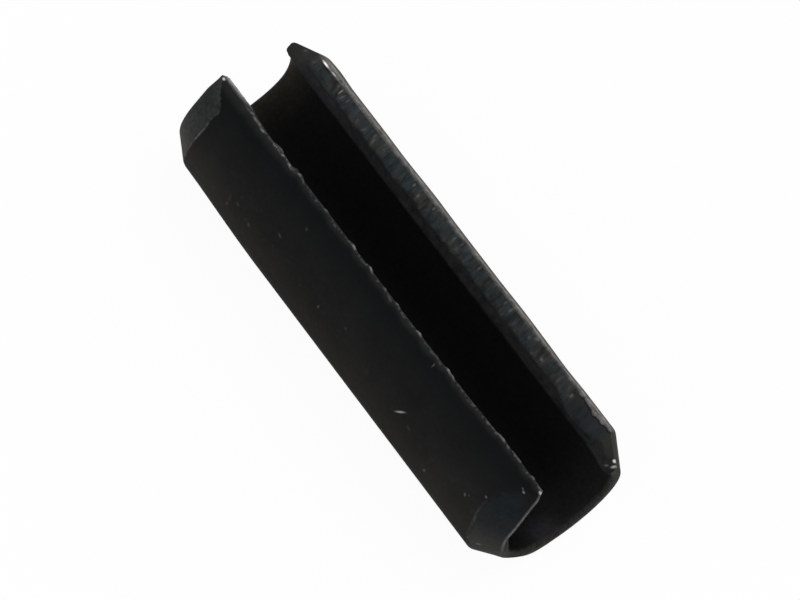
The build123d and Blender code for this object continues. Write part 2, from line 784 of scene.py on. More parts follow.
        half = self.arc_columns + self.face_columns
        out = graph.clamp(column / self.arc_columns)
        down = graph.clamp((column - self.arc_columns) / self.face_columns)
        back = graph.clamp((column - half) / self.arc_columns)
        up = graph.clamp((column - half - self.arc_columns) / self.face_columns)
        turn = out - back
        across = turn - graph.maths("SINE", turn * math.tau) * (self.crowding_across / math.tau)
        depth = (down - up) ** self.crowding_down

        inset = (1.0 - cap) * (2 * self.cap_inset)
        across = across + (0.5 - across) * inset
        depth = (depth - 0.5) * cap + 0.5
        return Places(along, across, depth, cap, back_rim, front_rim)

    def _point(self, graph: Graph, places: Places, size: Mapping[str, Wire]) -> Point:
        """Work out a vertex's position and the marks that the finish reads.

        Args:
            graph: The tree to add nodes to.
            places: The vertex's place on the strip.
            size: The node group's inputs, by name.

        Returns:
            The position in millimetres, and the marks by name.
        """
        nominal = (places.along - 0.5) * size["Length"]
        shifts = {
            wall: self._edge_shift(graph, wall, nominal, places.depth, size) for wall in Wall
        }
        minus, plus = shifts[Wall.MINUS_Y], shifts[Wall.PLUS_Y]
        mean_radius = size["Free radius"] - size["Wall"] * places.depth
        to_degrees = math.degrees(1.0) / mean_radius
        start = self.edges[Wall.MINUS_Y].angle.at(graph, nominal) + minus.shift * to_degrees
        stop = self.edges[Wall.PLUS_Y].angle.at(graph, nominal) - plus.shift * to_degrees
        angle = graph.mix(places.across, start, stop)
        arc = (stop - start) * size["Free radius"] * math.radians(1.0)
        from_minus = places.across * arc
        from_plus = (1.0 - places.across) * arc

        reach = {end: self._end_plane(graph, end, angle, places.depth, size) for end in End}
        inner_back = reach[End.BACK].x + self.rim_width
        inner_front = reach[End.FRONT].x - self.rim_width
        x = graph.mix(places.along, inner_back, inner_front) + (
            (places.back_rim - places.front_rim) * self.rim_width
        )
        section = self._section(graph, x, angle, reach, size)
        near_plus = graph.step(from_plus, self.bore_burr_width, 0.0)
        bore = section.bore - near_plus * self.bore_burr
        drop = graph.rounding(from_minus + minus.corner, minus.roll) + graph.rounding(
            from_plus + plus.corner, plus.roll
        )
        radius = graph.mix(places.depth, section.outside - drop, bore)

        turn = angle * math.radians(1.0)
        y = radius * graph.maths("SINE", turn) * -1.0
        z = radius * graph.maths("COSINE", turn)
        marks = {
            "depth": places.depth * size["Wall"],
            "past_land": graph.mix(
                graph.step(places.across, 0.4, 0.6), minus.past_land, plus.past_land
            ),
            "from_minus": from_minus,
            "from_plus": from_plus,
            "from_end": section.from_end,
            "past_crease": section.past_crease,
            "end_face": 1.0 - places.cap,
            "minus_burr": minus.burr,
        }
        return Point(graph.vector(x, y, z), marks)

    def _edge_shift(
        self, graph: Graph, wall: Wall, x: Wire, depth: Wire, size: Mapping[str, Wire]
    ) -> EdgeShift:
        """How far one sheared face lies back from its radial plane, at a depth into the wall.

        Args:
            graph: The tree to add nodes to.
            wall: The wall that the edge belongs to.
            x: The place along the pin.
            depth: The depth into the wall, from 0 at the outside to 1 at the bore.
            size: The node group's inputs, by name.

        Returns:
            The shift, and what goes with it.
        """
        edge = self.edges[wall]
        line = x + size["Seed"] + edge.seed
        roll = edge.roll.at(graph, x) + self.roll_ripple.at(graph, line)
        roll = graph.most(roll, self.least_roll)
        corner = roll * (1.0 - math.sqrt(0.5))
        fallen = self._fallen(graph, wall, x)
        below = graph.mix(depth, fallen, size["Wall"])
        from_top = below - fallen
        rolled = graph.rounding(from_top + corner, roll)

        land = size["Shear land"] + self.land_ripple.at(graph, line)
        land = land + edge.deeper_land.at(graph, x)
        past_land = below - land
        torn = graph.most(past_land, 0.0)
        torn_share = torn / (size["Wall"] - land)
        grain_place = graph.vector(line, below * 1.6, edge.seed)
        grain = self.break_grain.at(graph, grain_place) - 0.5
        torn_back = torn_share * size["Break depth"] + (
            graph.step(torn, 0.0, 0.05) * (grain * size["Break roughness"] + self.break_step)
        )

        burr = Course(0.0, edge.burrs).at(graph, x)
        wander: Number = 0.0
        for ripple in self.edge_ripples:
            wander = ripple.at(graph, line) + wander
        stand = (burr + wander) * graph.step(from_top, self.burr_height, 0.0)
        bulge = depth * edge.bulge.at(graph, x)
        shift = rolled + torn_back - stand - bulge
        return EdgeShift(shift, roll, corner, burr, past_land)

    def _fallen(self, graph: Graph, wall: Wall, x: Wire) -> Number:
        """How far the outside has come in at a sheared edge, where a cone reaches it.

        Args:
            graph: The tree to add nodes to.
            wall: The wall that the edge belongs to.
            x: The place along the pin.

        Returns:
            The distance in from the free radius.
        """
        if wall is Wall.MINUS_Y:
            return 0.0
        fallen: Number = 0.0
        for end, swage in self.ends.items():
            slope = (self.radius - swage.tip_radius.base) / swage.length.base
            past = x * float(end.value) - (self.length / 2 - swage.length.base)
            fallen = graph.most(past, 0.0) * slope + fallen
        return fallen

    def _end_plane(
        self, graph: Graph, end: End, angle: Wire, depth: Wire, size: Mapping[str, Wire]
    ) -> EndPlane:
        """Where the strip ends at one angle, and how its cone and mouth run there.

        Args:
            graph: The tree to add nodes to.
            end: Which end.
            angle: The angle round the pin.
            depth: The depth into the wall, from 0 to 1.
            size: The node group's inputs, by name.

        Returns:
            The end's sizes at that angle.
        """
        swage = self.ends[end]
        tip = swage.tip_radius.at(graph, angle)
        mouth = swage.mouth_radius.at(graph, angle)
        set_back = swage.set_back.at(graph, angle)
        length = swage.length.at(graph, angle)
        past_flat = graph.most(swage.flat_from - angle, 0.0)
        spread = graph.maths("COSINE", past_flat * math.radians(1.0))
        squared = size["Free radius"] * (1.0 - spread) * length / (size["Free radius"] - tip)
        crease = length - squared + swage.crease_shift.at(graph, angle)
        tip = tip / spread
        slope = (size["Free radius"] - tip) / crease
        thickness = tip + slope * set_back - mouth
        lean = thickness * depth * swage.lean.at(graph, angle)
        back = set_back + lean
        x = (size["Length"] * 0.5 - back) * float(end.value)
        return EndPlane(x, tip, length, slope, mouth, back)

    def _section(
        self,
        graph: Graph,
        x: Wire,
        angle: Wire,
        reach: Mapping[End, EndPlane],
        size: Mapping[str, Wire],
    ) -> Section:
        """The strip's wall at one place.

        Args:
            graph: The tree to add nodes to.
            x: The place along the pin.
            angle: The angle round the pin.
            reach: Both ends at that angle.
            size: The node group's inputs, by name.

        Returns:
            Its radii, and the distances to its end and crease.
        """
        cloud = self.sway_grain.at(graph, graph.vector(x * 0.2, angle * 0.02, size["Seed"]))
        outside = size["Free radius"] - cloud * size["Sway"]
        for swell in self.swells:
            outside = outside + swell.at(graph, angle, x)
        bore = size["Free radius"] - size["Wall"]
        full_bore = self.radius - self.wall
        from_end: Number = self.length
        past_crease: Number = -self.length
        cylinder = outside
        for end, plane in reach.items():
            swage = self.ends[end]
            to_end = size["Length"] * 0.5 - x * float(end.value)
            to_edge = graph.most(to_end - plane.back, 0.0)
            cone = plane.tip + plane.slope * to_end
            outside = graph.maths("SMOOTH_MIN", outside, cone, swage.crease_round)
            outside = outside - graph.rounding(to_edge, swage.tip_round)
            squeeze = (plane.mouth - full_bore) * graph.step(to_end, plane.length, 0.15)
            bore = bore + squeeze + graph.rounding(to_edge, swage.lip_round)
            from_end = graph.least(to_edge, from_end)
            past_crease = graph.most((cylinder - cone) / plane.slope, past_crease)
        return Section(outside, bore, from_end, past_crease)


# ------------------------------------------------------------------------------------- the finish


@dataclass(frozen=True)
class Mark:
    """A short stroke or spot on the finish, placed by X and a second coordinate, in millimetres."""

    x: float
    level: float
    length: float
    width: float
    turn: float = 0.0
    strength: float = 1.0

    def at(self, graph: Graph, place: Wire) -> Wire:
        """The mark's strength at a place, given as X and the second coordinate.

        Args:
            graph: The tree to add nodes to.
            place: X and the second coordinate, as a vector.

        Returns:
            Its strength in the middle, fading to 0 at its rim.
        """
        turn = math.radians(self.turn)
        half = self.length / 2 + self.width
        away = graph.add(
            "ShaderNodeVectorMath",
            {"operation": "SUBTRACT"},
            {0: place, 1: (self.x, self.level, 0.0)},
        )
        along = graph.dot(away, (math.cos(turn) / half, math.sin(turn) / half, 0.0))
        beside = graph.dot(away, (-math.sin(turn) / self.width, math.cos(turn) / self.width, 0.0))
        own = graph.vector(along, beside, 0.0)
        distance = graph.add(
            "ShaderNodeVectorMath", {"operation": "LENGTH"}, {0: own}, output="Value"
        )
        return graph.add(
            "ShaderNodeMapRange",
            {"interpolation_type": "SMOOTHSTEP"},
            {"Value": distance, "From Min": 1.0, "From Max": 0.0, "To Max": self.strength},
        )


@dataclass(frozen=True)
class Skin:
    """What the finish reads at a place on the strip, in millimetres and degrees.

    The rim is the distance in from the free outside. The side is the angle from the middle of the
    slot, positive on the -Y wall, the turn is the same without its sign, and the angle runs from 0
    to 360. Around is the side as a distance round the outside. The rest is stored on the strip.
    """

    place: Wire
    x: Wire
    rim: Wire
    side: Wire
    turn: Wire
    angle: Wire
    around: Wire
    depth: Wire
    past_land: Wire
    from_minus: Wire
    from_plus: Wire
    from_end: Wire
    past_crease: Wire
    end_face: Wire
    minus_burr: Wire


@dataclass(frozen=True)
class BlackOxide:
    """Black oxide on spring steel: thin on the sheared faces, bare at the sharp edges, with light
    and shade painted into its colours.
    """

    radius: float
    # Painted shade and light round the outside: darkest beside the slot, lighter down the flank,
    # lightest under, painted shade again at the belly.
    slot_side: Colour = (0.0033, 0.0038, 0.0040)
    flank: Colour = (0.0078, 0.0079, 0.0078)
    under: Colour = (0.0094, 0.0089, 0.0077)
    belly: Colour = (0.0042, 0.0040, 0.0034)
    front_cone: Colour = (0.0096, 0.0104, 0.0116)
    cone_patch: Colour = (0.0088, 0.0125, 0.0142)
    cone_low: Colour = (0.0190, 0.0190, 0.0180)
    back_cone: Colour = (0.0185, 0.0205, 0.0196)
    back_cone_low: Colour = (0.0235, 0.0230, 0.0210)
    bore: Colour = (0.0082, 0.0082, 0.0083)
    front_mouth: Colour = (0.0105, 0.0106, 0.0112)
    mouth_patch: Colour = (0.0215, 0.0218, 0.0240)
    back_mouth: Colour = (0.0220, 0.0208, 0.0165)
    lip: Colour = (0.0225, 0.0218, 0.0200)
    land_cool: Colour = (0.0200, 0.0250, 0.0275)
    land_warm: Colour = (0.0265, 0.0265, 0.0250)
    land_front: Colour = (0.0245, 0.0260, 0.0310)
    torn: Colour = (0.0090, 0.0094, 0.0098)
    face_end: Colour = (0.0230, 0.0228, 0.0215)
    # Bare steel, also the colour of the painted highlights, glow and reflection along the slot
    # edges.
    bare: Colour = (0.80, 0.79, 0.775)
    bare_warm: Colour = (0.82, 0.765, 0.72)
    shade: Colour = (0.0045, 0.0022, 0.0020)
    roughness: float = 0.55
    uneven_roughness: float = 0.2
    specular: float = 0.03
    bump_strength: float = 0.3
    bump_height: float = 0.006

    speckle: Grain = Grain(6.5, 3.0, 0.6)
    cloud: Grain = Grain(0.8, 3.0)
    grain: Grain = Grain(14.0, 3.0, 0.6)
    specks: Grain = Grain(5.0, 2.0)
    streaks: Grain = Grain(1.0, 3.0, 0.65)
    broad: Grain = Grain(1.0, 2.0)
    rough: Grain = Grain(1.0, 3.0, 0.75)
    broken: Grain = Grain(4.5, 4.0, 0.65)
    fine: Grain = Grain(6.0, 2.0)
    beads: Grain = Grain(3.6, 2.0)

    # Where the coats meet.
    front_half: Fade = Fade(-1.0, 1.0)
    in_bore: Fade = Fade(0.96, 0.995)
    by_plus: Fade = Fade(0.25, 0.10)
    off_ends: Fade = Fade(0.2, 0.0)
    below_roll: Fade = Fade(0.01, 0.04)
    at_shear: Fade = Fade(0.09, 0.005)
    roll_on_cone: Fade = Fade(-0.25, 0.05)
    roll_on_cone_depth: float = 0.06
    lip_width: Fade = Fade(0.26, 0.06)
    lip_depth: Fade = Fade(0.10, 0.30)
    warm_by_plus: Fade = Fade(1.2, 0.6)
    bore_to_front: Fade = Fade(7.6, 9.4)
    bore_to_back: Fade = Fade(-8.3, -9.7)

    # The outside: its shading starts beside the slot and is spread over some degrees.
    shading_start: float = 36.0
    shading_span: float = 84.0
    low_on_minus: Fade = Fade(78.0, 102.0)
    low_on_plus: Fade = Fade(10.0, -10.0)
    cone_blur_back: float = 0.05
    cone_blur_front: float = 0.22
    flecks: float = 0.6
    cone_flecks_back: float = 1.3
    cone_flecks_front: float = 0.3
    specks_strength: float = 0.7
    grey_ends: float = 0.3
    cone_edge: float = 0.8

    # The sheared faces.
    land_to_front: Fade = Fade(6.8, 7.6)
    face_front: Fade = Fade(8.55, 8.95)
    face_back: Fade = Fade(-8.7, -9.3)
    streaked: float = 2.6
    least_land_tone: float = 0.3
    glints: float = 0.9
    mottled: float = 2.6
    pitted: float = 0.45

    # How strongly bare steel shows, from 0 to 1, and how far it reaches; the same shares carry
    # painted highlights, a painted glow, a painted reflection and a painted shadow line along the
    # slot edges.
    # Along the -Y edge: burrs of bare steel with painted glints, a painted highlight line and a
    # faint painted glow.
    burr_shine: float = 0.32
    edge_shine: float = 0.060
    least_edge_shine: float = 0.010
    bead_shine: float = 0.20
    glow: float = 0.014
    glow_reach: float = 0.30
    # The +Y roll: bare steel at the edge, and a painted reflection on the outside beside it.
    roll_shine: float = 0.20
    least_roll_shine: float = 0.135
    tip_face_shine: float = 0.40
    least_tip_face_shine: float = 0.18
    end_line_shine: float = 0.08
    back_crease_shine: float = 0.07
    front_crease_shine: float = 0.025
    reach_ripple: Ripple = Ripple(9.0, 1.6, 4.0, 0.02)
    # Where the painted shadow line under the +Y roll lies, below its bare metal.
    under_roll_gap: float = 0.085
    under_roll_width: float = 0.05

    land_tone: Course = Course(
        1.0,
        (
            Hump(-8.3, 0.6, -0.15), Hump(-7.3, 0.9, 0.25), Hump(-5.5, 2.5, 0.10),
            Slide(6.5, 7.6, -0.33),
        ),
    )
    rubbed_reach: Course = Course(
        0.010,
        (
            Hump(7.95, 0.95, 0.05), Hump(7.08, 0.16, 0.03), Hump(7.26, 0.10, -0.03),
            Hump(7.50, 0.20, 0.02), Hump(7.92, 0.18, 0.08), Hump(8.36, 0.15, 0.05),
            Hump(8.74, 0.12, 0.03), Hump(-8.2, 1.2, 0.03), Slide(-3.0, -6.0, 0.02),
        ),
    )
    outside_marks: tuple[Mark, ...] = (
        Mark(3.93, 79.3, 0.62, 0.064, -50.0, 0.30),
        Mark(3.55, 41.5, 0.18, 0.050, 80.0, 0.06),
        Mark(9.155, 44.95, 0.03, 0.062, 0.0, 0.22),
        Mark(9.06, 43.9, 0.10, 0.050, 30.0, 0.08),
        # A burr at the -Y edge by the front tip: bare steel with a painted glint.
        Mark(9.57, 36.9, 0.08, 0.095, 0.0, 0.60),
        Mark(8.39, 66.0, 0.04, 0.070, 0.0, 0.08),
        Mark(7.76, 77.8, 0.06, 0.080, 60.0, 0.07),
        Mark(7.90, 75.5, 0.04, 0.050, 0.0, 0.04),
        Mark(8.60, 84.0, 0.50, 0.060, 74.0, 0.03),
        Mark(9.13, 108.6, 0.14, 0.080, -40.0, 0.12),
        Mark(8.74, 106.0, 0.08, 0.070, 60.0, 0.04),
        Mark(5.97, 96.0, 0.12, 0.080, 90.0, 0.07),
        Mark(4.55, 82.0, 0.10, 0.100, 20.0, 0.02),
        Mark(-3.86, 70.7, 0.14, 0.080, 15.0, 0.035),
        Mark(-3.30, 53.2, 0.06, 0.070, 30.0, 0.03),
        Mark(-5.08, 86.8, 0.10, 0.090, 60.0, 0.035),
        Mark(-5.90, 83.0, 0.08, 0.100, 0.0, 0.025),
        Mark(-6.31, 86.5, 0.60, 0.050, 88.0, 0.02),
        Mark(-6.30, 92.3, 0.12, 0.070, 90.0, 0.04),
        Mark(-1.00, 80.8, 0.12, 0.070, 90.0, 0.045),
        Mark(0.34, 73.5, 0.08, 0.070, 90.0, 0.02),
        # A burr at the -Y edge by the back tip: bare steel with a painted glint.
        Mark(-9.62, 37.4, 0.06, 0.080, 0.0, 0.8),
    )
    face_marks: tuple[Mark, ...] = (
        Mark(-8.45, 3.275, 0.44, 0.070, 0.0, 1.0),
        Mark(-8.20, 3.280, 0.60, 0.050, 1.0, 0.22),
        Mark(-7.96, 3.285, 0.40, 0.055, 2.0, 0.5),
        Mark(-9.36, 2.98, 0.12, 0.080, 40.0, 0.05),
        Mark(-7.29, 3.09, 0.34, 0.050, 84.0, 0.22),
        Mark(-7.10, 3.02, 0.34, 0.055, 72.0, 0.07),
        Mark(-6.86, 3.08, 0.22, 0.055, 80.0, 0.05),
        Mark(-7.50, 3.16, 0.10, 0.060, 84.0, 0.06),
        Mark(-5.64, 2.90, 0.30, 0.065, 60.0, 0.04),
        Mark(-5.18, 3.10, 0.18, 0.060, 82.0, 0.045),
        Mark(-2.82, 3.13, 0.14, 0.075, 90.0, 0.10),
        Mark(-2.42, 2.99, 0.10, 0.095, 70.0, 0.065),
        Mark(-1.66, 3.17, 0.08, 0.075, 90.0, 0.08),
        Mark(-0.31, 3.10, 0.24, 0.065, 78.0, 0.06),
        Mark(0.04, 3.19, 0.12, 0.070, 80.0, 0.04),
        Mark(1.12, 3.17, 0.22, 0.080, 84.0, 0.06),
        Mark(2.72, 3.15, 0.20, 0.065, 86.0, 0.04),
        Mark(3.05, 3.12, 0.20, 0.075, 84.0, 0.06),
        Mark(4.25, 3.05, 0.10, 0.080, 80.0, 0.04),
        Mark(4.52, 3.26, 0.24, 0.090, 30.0, 0.09),
        Mark(5.17, 2.91, 0.02, 0.095, 0.0, 0.08),
        Mark(6.89, 2.97, 0.14, 0.080, 84.0, 0.08),
        Mark(7.50, 3.33, 0.14, 0.080, 0.0, 0.22),
        Mark(7.96, 3.29, 0.14, 0.080, 0.0, 0.20),
        Mark(8.70, 3.33, 0.08, 0.070, 0.0, 0.20),
        # These four, at the front tip's +Y corner, are burrs of bare steel with painted glints.
        Mark(9.71, 2.75, 0.02, 0.095, 0.0, 0.85),
        Mark(9.85, 2.60, 0.22, 0.080, 62.0, 0.36),
        Mark(9.74, 2.92, 0.03, 0.075, 0.0, 0.25),
        Mark(9.63, 2.41, 0.16, 0.065, 50.0, 0.09),
    )
    # Painted shade under the rolled knock near the -X end and in two small spots on the +Y face.
    dark_marks: tuple[Mark, ...] = (
        Mark(-8.25, 3.19, 0.70, 0.055, 1.0, 1.0),
        Mark(6.90, 3.10, 0.02, 0.070, 0.0, 0.6),
        Mark(9.60, 2.74, 0.05, 0.080, 60.0, 0.5),
    )
    # Painted shade in a small dip on the outside beside the front tip.
    dark_outside: tuple[Mark, ...] = (Mark(9.42, 39.8, 0.26, 0.130, -35.0, 0.6),)

    def material(self) -> bpy.types.Material:
        """Build the finish.

        Returns:
            The material of the whole strip.
        """
        material = bpy.data.materials.new("black_oxide_spring_steel")
        material.use_nodes = True
        graph = Graph(material.node_tree)
        skin = self._skin(graph)
        speckle = self.speckle.at(graph, skin.place)
        cloud = self.cloud.at(graph, skin.place)

        on_plus = self.by_plus.at(graph, skin.from_plus)
        from_edge = graph.least(skin.from_minus, skin.from_plus)
        off_ends = self.off_ends.at(graph, skin.end_face)
        past_roll = self.roll_on_cone.at(graph, skin.past_crease) * on_plus
        past_roll = skin.depth + past_roll * self.roll_on_cone_depth
        on_face = self.below_roll.at(graph, past_roll) * self.at_shear.at(graph, from_edge)
        on_face = on_face * off_ends
        coat = self._outside(graph, skin, cloud, speckle)
        in_bore = self.in_bore.at(graph, skin.depth)
        coat = graph.blend(in_bore, coat, self._bore(graph, skin, speckle))
        on_lip = self.lip_width.at(graph, skin.from_end) * self.lip_depth.at(graph, skin.depth)
        coat = graph.blend(on_lip, coat, graph.scale(self.lip, graph.varied(speckle, 2.4)))
        coat = graph.blend(on_face, coat, self._sheared(graph, skin, cloud))
        coat = graph.blend(self._shaded(graph, skin, on_plus), coat, self.shade)

        # Bare steel where the coat is gone, with painted highlights and a painted reflection along
        # the slot edges as bare metal too.
        bare_and_sheen = self._bare_steel_and_sheen(graph, skin, on_face, on_plus)
        steel_and_sheen_colour = graph.blend(
            self.warm_by_plus.at(graph, skin.from_plus), self.bare, self.bare_warm
        )
        base = graph.blend(bare_and_sheen, coat, steel_and_sheen_colour)
        grain = self.grain.at(graph, skin.place)
        bump = graph.add(
            "ShaderNodeBump",
            None,
            {
                "Strength": self.bump_strength,
                "Distance": self.bump_height * MM,
                "Height": grain + speckle * 0.6,
            },
        )
        shader = graph.add(
            "ShaderNodeBsdfPrincipled",
            None,
            {
                "Base Color": base,
                "Metallic": bare_and_sheen,
                "Roughness": (cloud - 0.5) * self.uneven_roughness + self.roughness,
                "Specular IOR Level": self.specular,
                "Normal": bump,
            },
        )
        graph.place("ShaderNodeOutputMaterial", None, {"Surface": shader})
        return material

    def _skin(self, graph: Graph) -> Skin:
        """Read the place and the marks stored on the strip.

        Args:
            graph: The tree to add nodes to.

        Returns:
            Every value that the coats and masks use.
        """
        object_place = graph.add("ShaderNodeTexCoord", None, None, "Object")
        place = graph.scale(object_place, 1.0 / MM)
        x, y, z = graph.parts(place)
        side = graph.maths("ARCTAN2", y * -1.0, z) * math.degrees(1.0)
        stored = {
            name: graph.add("ShaderNodeAttribute", {"attribute_name": name}, None, "Fac")
            for name in STORED
        }
        return Skin(
            place=place,
            x=x,
            rim=self.radius - graph.maths("SQRT", y * y + z * z),
            side=side,
            turn=abs(side),
            angle=side + graph.maths("LESS_THAN", side, 0.0) * 360.0,
            around=side * (math.radians(1.0) * self.radius),
            **stored,
        )

    def _outside(self, graph: Graph, skin: Skin, cloud: Wire, speckle: Wire) -> Wire:
        """The coat of the cylinder and the two cones, greyer towards the underside, with painted
        light and shade round the pin.

        Args:
            graph: The tree to add nodes to.
            skin: What the finish reads at a place.
            cloud: Broad, soft noise.
            speckle: Fine noise.

        Returns:
            The colour.
        """
        round_pin = (skin.turn - self.shading_start) / self.shading_span
        # Painted shade beside the slot, painted light down the flank and under, painted shade at
        # the belly for the reflected shadow beneath the pin.
        stops = (
            (0.12, self.slot_side), (0.44, self.flank), (0.73, self.under), (0.88, self.belly)
        )
        body = graph.add("ShaderNodeValToRGB", {"stops": stops}, {0: round_pin})
        low = graph.most(
            self.low_on_minus.at(graph, skin.side), self.low_on_plus.at(graph, skin.side)
        )
        front = graph.blend(low, self.front_cone, self.cone_low)
        back = graph.blend(low, self.back_cone, self.back_cone_low)
        bluish = graph.bell(skin.x, 9.15, 0.75) * graph.bell(skin.turn, 61.0, 18.0)
        front = graph.blend(bluish, front, self.cone_patch)
        at_front = self.front_half.at(graph, skin.x)
        cone = graph.blend(at_front, back, front)
        blur = graph.mix(at_front, self.cone_blur_back, self.cone_blur_front)
        on_cone = graph.step(skin.past_crease + (speckle - 0.5) * 0.3, blur * -0.5, blur)
        cone_flecks = graph.mix(at_front, self.cone_flecks_back, self.cone_flecks_front)
        flecked = (speckle - 0.5) * (on_cone * cone_flecks + self.flecks)
        on_cone = on_cone * (1.0 - at_front * graph.bell(skin.side, 36.0, 30.0) * 0.6)
        specks = graph.step(self.specks.at(graph, skin.place), 0.60, 0.78)
        specks = specks * graph.step(skin.turn, 50.0, 90.0) * self.specks_strength
        grey_ends = graph.step(abs(skin.x), 3.5, 8.0) * graph.step(skin.turn, 60.0, 85.0)
        cone_edge = graph.step(skin.from_plus, 0.35, 0.05) * at_front * on_cone
        tone = graph.varied(cloud, 0.9) + flecked + specks
        tone = tone + grey_ends * self.grey_ends + cone_edge * self.cone_edge
        return graph.scale(graph.blend(on_cone, body, cone), tone)

    def _bore(self, graph: Graph, skin: Skin, speckle: Wire) -> Wire:
        """The coat inside the pin, thinner at the two mouths.

        Args:
            graph: The tree to add nodes to.
            skin: What the finish reads at a place.
            speckle: Fine noise.

        Returns:
            The colour.
        """
        coat = graph.blend(self.bore_to_front.at(graph, skin.x), self.bore, self.front_mouth)
        patch = graph.bell(skin.angle, 191.0, 26.0) * graph.step(skin.x, 8.7, 9.5)
        coat = graph.blend(patch, coat, self.mouth_patch)
        coat = graph.scale(coat, 1.0 - graph.bell(skin.angle, 145.0, 45.0) * 0.40)
        coat = graph.blend(self.bore_to_back.at(graph, skin.x), coat, self.back_mouth)
        return graph.scale(coat, graph.varied(speckle, 1.2))

    def _sheared(self, graph: Graph, skin: Skin, cloud: Wire) -> Wire:
        """The coat of the sheared faces: a streaked land, and a dull torn part beyond it.

        Args:
            graph: The tree to add nodes to.
            skin: What the finish reads at a place.
            cloud: Broad, soft noise.

        Returns:
            The colour.
        """
        streak_place = graph.vector(skin.x * 6.0, skin.rim * 1.8, skin.turn * 0.01)
        streaks = self.streaks.at(graph, streak_place)
        broad = self.broad.at(graph, graph.vector(skin.x * 1.3, skin.rim * 1.5, 4.0))
        land = graph.blend(graph.step(broad, 0.35, 0.65), self.land_cool, self.land_warm)
        land = graph.blend(self.land_to_front.at(graph, skin.x) * 0.7, land, self.land_front)
        tone = self.land_tone.at(graph, skin.x) * (1.25 - skin.rim * 0.55)
        streaked = self.streaked - graph.step(skin.x, 6.4, 7.4) * 1.4
        tone = tone * (graph.varied(streaks, streaked) + (cloud - 0.5) * 1.0)
        glints = graph.step(streaks, 0.58, 0.74) * graph.step(broad, 0.42, 0.60)
        tone = graph.most(tone, self.least_land_tone) + glints * self.glints
        land = graph.scale(land, tone)
        at_front = self.face_front.at(graph, skin.x)
        at_back = self.face_back.at(graph, skin.x)
        smooth = graph.scale(self.face_end, graph.varied(cloud, 1.2))
        land = graph.blend(graph.most(at_front, at_back), land, smooth)

        rough = self.rough.at(graph, graph.vector(skin.x * 2.6, skin.rim * 3.4, 9.0))
        mottled = graph.step(skin.x, 7.8, 8.4) * 2.4 + self.mottled
        paler = graph.step(skin.x, -5.5, -8.0) * 0.45
        torn = graph.scale(self.torn, graph.varied(rough, mottled) + paler)
        ragged = skin.past_land + (rough - 0.5) * 0.34 + 0.035
        past = graph.step(ragged, -0.06, 0.08)
        pits = graph.bell(ragged, -0.03, 0.09) * graph.step(rough, 0.50, 0.62)
        land = graph.scale(land, 1.0 - pits * self.pitted)
        past = past * (1.0 - graph.most(at_back * 0.85, at_front * 0.3))
        return graph.blend(past, land, torn)

    def _shaded(self, graph: Graph, skin: Skin, on_plus: Wire) -> Wire:
        """How much painted shade lies in nicked spots, under the rolled knock and in a dip beside
        the front tip, and the painted shadow line under the bare metal of the +Y face's front.

        Args:
            graph: The tree to add nodes to.
            skin: What the finish reads at a place.
            on_plus: 1 beside the +Y edge.

        Returns:
            The share of shade, from 0 to 1.
        """
        # A painted shadow line under the bare metal of the rolled +Y edge, at the front.
        under_roll = graph.bell(
            skin.rim, self._roll_reach(graph, skin) + self.under_roll_gap, self.under_roll_width
        )
        under_roll = under_roll * graph.step(skin.x, 6.9, 7.3) * graph.step(skin.x, 8.95, 8.85)
        nick_shade = self._strongest(graph, self.dark_marks, skin.x, self.radius - skin.rim)
        outside = self._strongest(graph, self._round_pin(self.dark_outside), skin.x, skin.around)
        return graph.most(graph.most(under_roll, nick_shade) * on_plus, outside)

    def _bare_steel_and_sheen(self, graph: Graph, skin: Skin, on_face: Wire, on_plus: Wire) -> Wire:
        """How much bare steel shows, from 0 to 1, with the painted highlights, glow and reflection
        along the slot edges shown as bare steel too.

        Args:
            graph: The tree to add nodes to.
            skin: What the finish reads at a place.
            on_face: 1 on the sheared faces.
            on_plus: 1 beside the +Y edge.

        Returns:
            The share of bare steel and painted sheen.
        """
        broken = self.broken.at(graph, skin.place)
        patchy = graph.step(broken, 0.32, 0.68)
        at_front = self.front_half.at(graph, skin.x)
        outside = self._strongest(graph, self._round_pin(self.outside_marks), skin.x, skin.around)
        face = self._strongest(graph, self.face_marks, skin.x, self.radius - skin.rim)

        bare_and_sheen: Number = 0.0
        for part in (
            self._bare_steel_and_highlight_minus(graph, skin, broken),
            self._bare_steel_and_reflection_plus(graph, skin, patchy),
            self._rubbed_tip_face(graph, skin, patchy) * on_face,
            self._rubbed_end(graph, skin, patchy) * at_front,
            self._rubbed_crease(graph, skin, at_front) * (patchy + 0.3),
            outside * graph.step(skin.depth, 0.12, 0.03),
            face * on_plus,
        ):
            bare_and_sheen = graph.most(part, bare_and_sheen)
        return graph.clamp(bare_and_sheen)

    def _bare_steel_and_highlight_minus(self, graph: Graph, skin: Skin, broken: Wire) -> Wire:
        """The -Y edge: its burrs of bare steel with painted glints, the painted highlight along the
        rounded edge between them, and a faint painted glow beside it.

        Args:
            graph: The tree to add nodes to.
            skin: What the finish reads at a place.
            broken: Noise that breaks the burrs up.

        Returns:
            The share of bare steel and painted highlight.
        """
        from_edge = skin.from_minus + skin.depth
        near_edge = graph.step(from_edge, 0.11, 0.01)
        burrs = graph.clamp(skin.minus_burr * 9.0) * graph.step(broken, 0.38, 0.58)
        burrs = burrs * self.burr_shine
        fine = graph.step(self.fine.at(graph, skin.place), 0.42, 0.66)
        # The line between the burrs is a painted highlight of the rounded edge, stronger towards
        # the ends.
        stronger_to_ends = 1.0 + graph.step(abs(skin.x), 3.0, 7.5) * 0.5
        line = (fine * self.edge_shine + self.least_edge_shine) * stronger_to_ends
        beads = graph.step(self.beads.at(graph, skin.place), 0.52, 0.64)
        beads = beads * graph.step(skin.x, -4.4, -5.2) * self.bead_shine
        line = graph.most(burrs, graph.most(beads, line))
        line = near_edge * graph.step(skin.x, -8.5, -8.1) * line
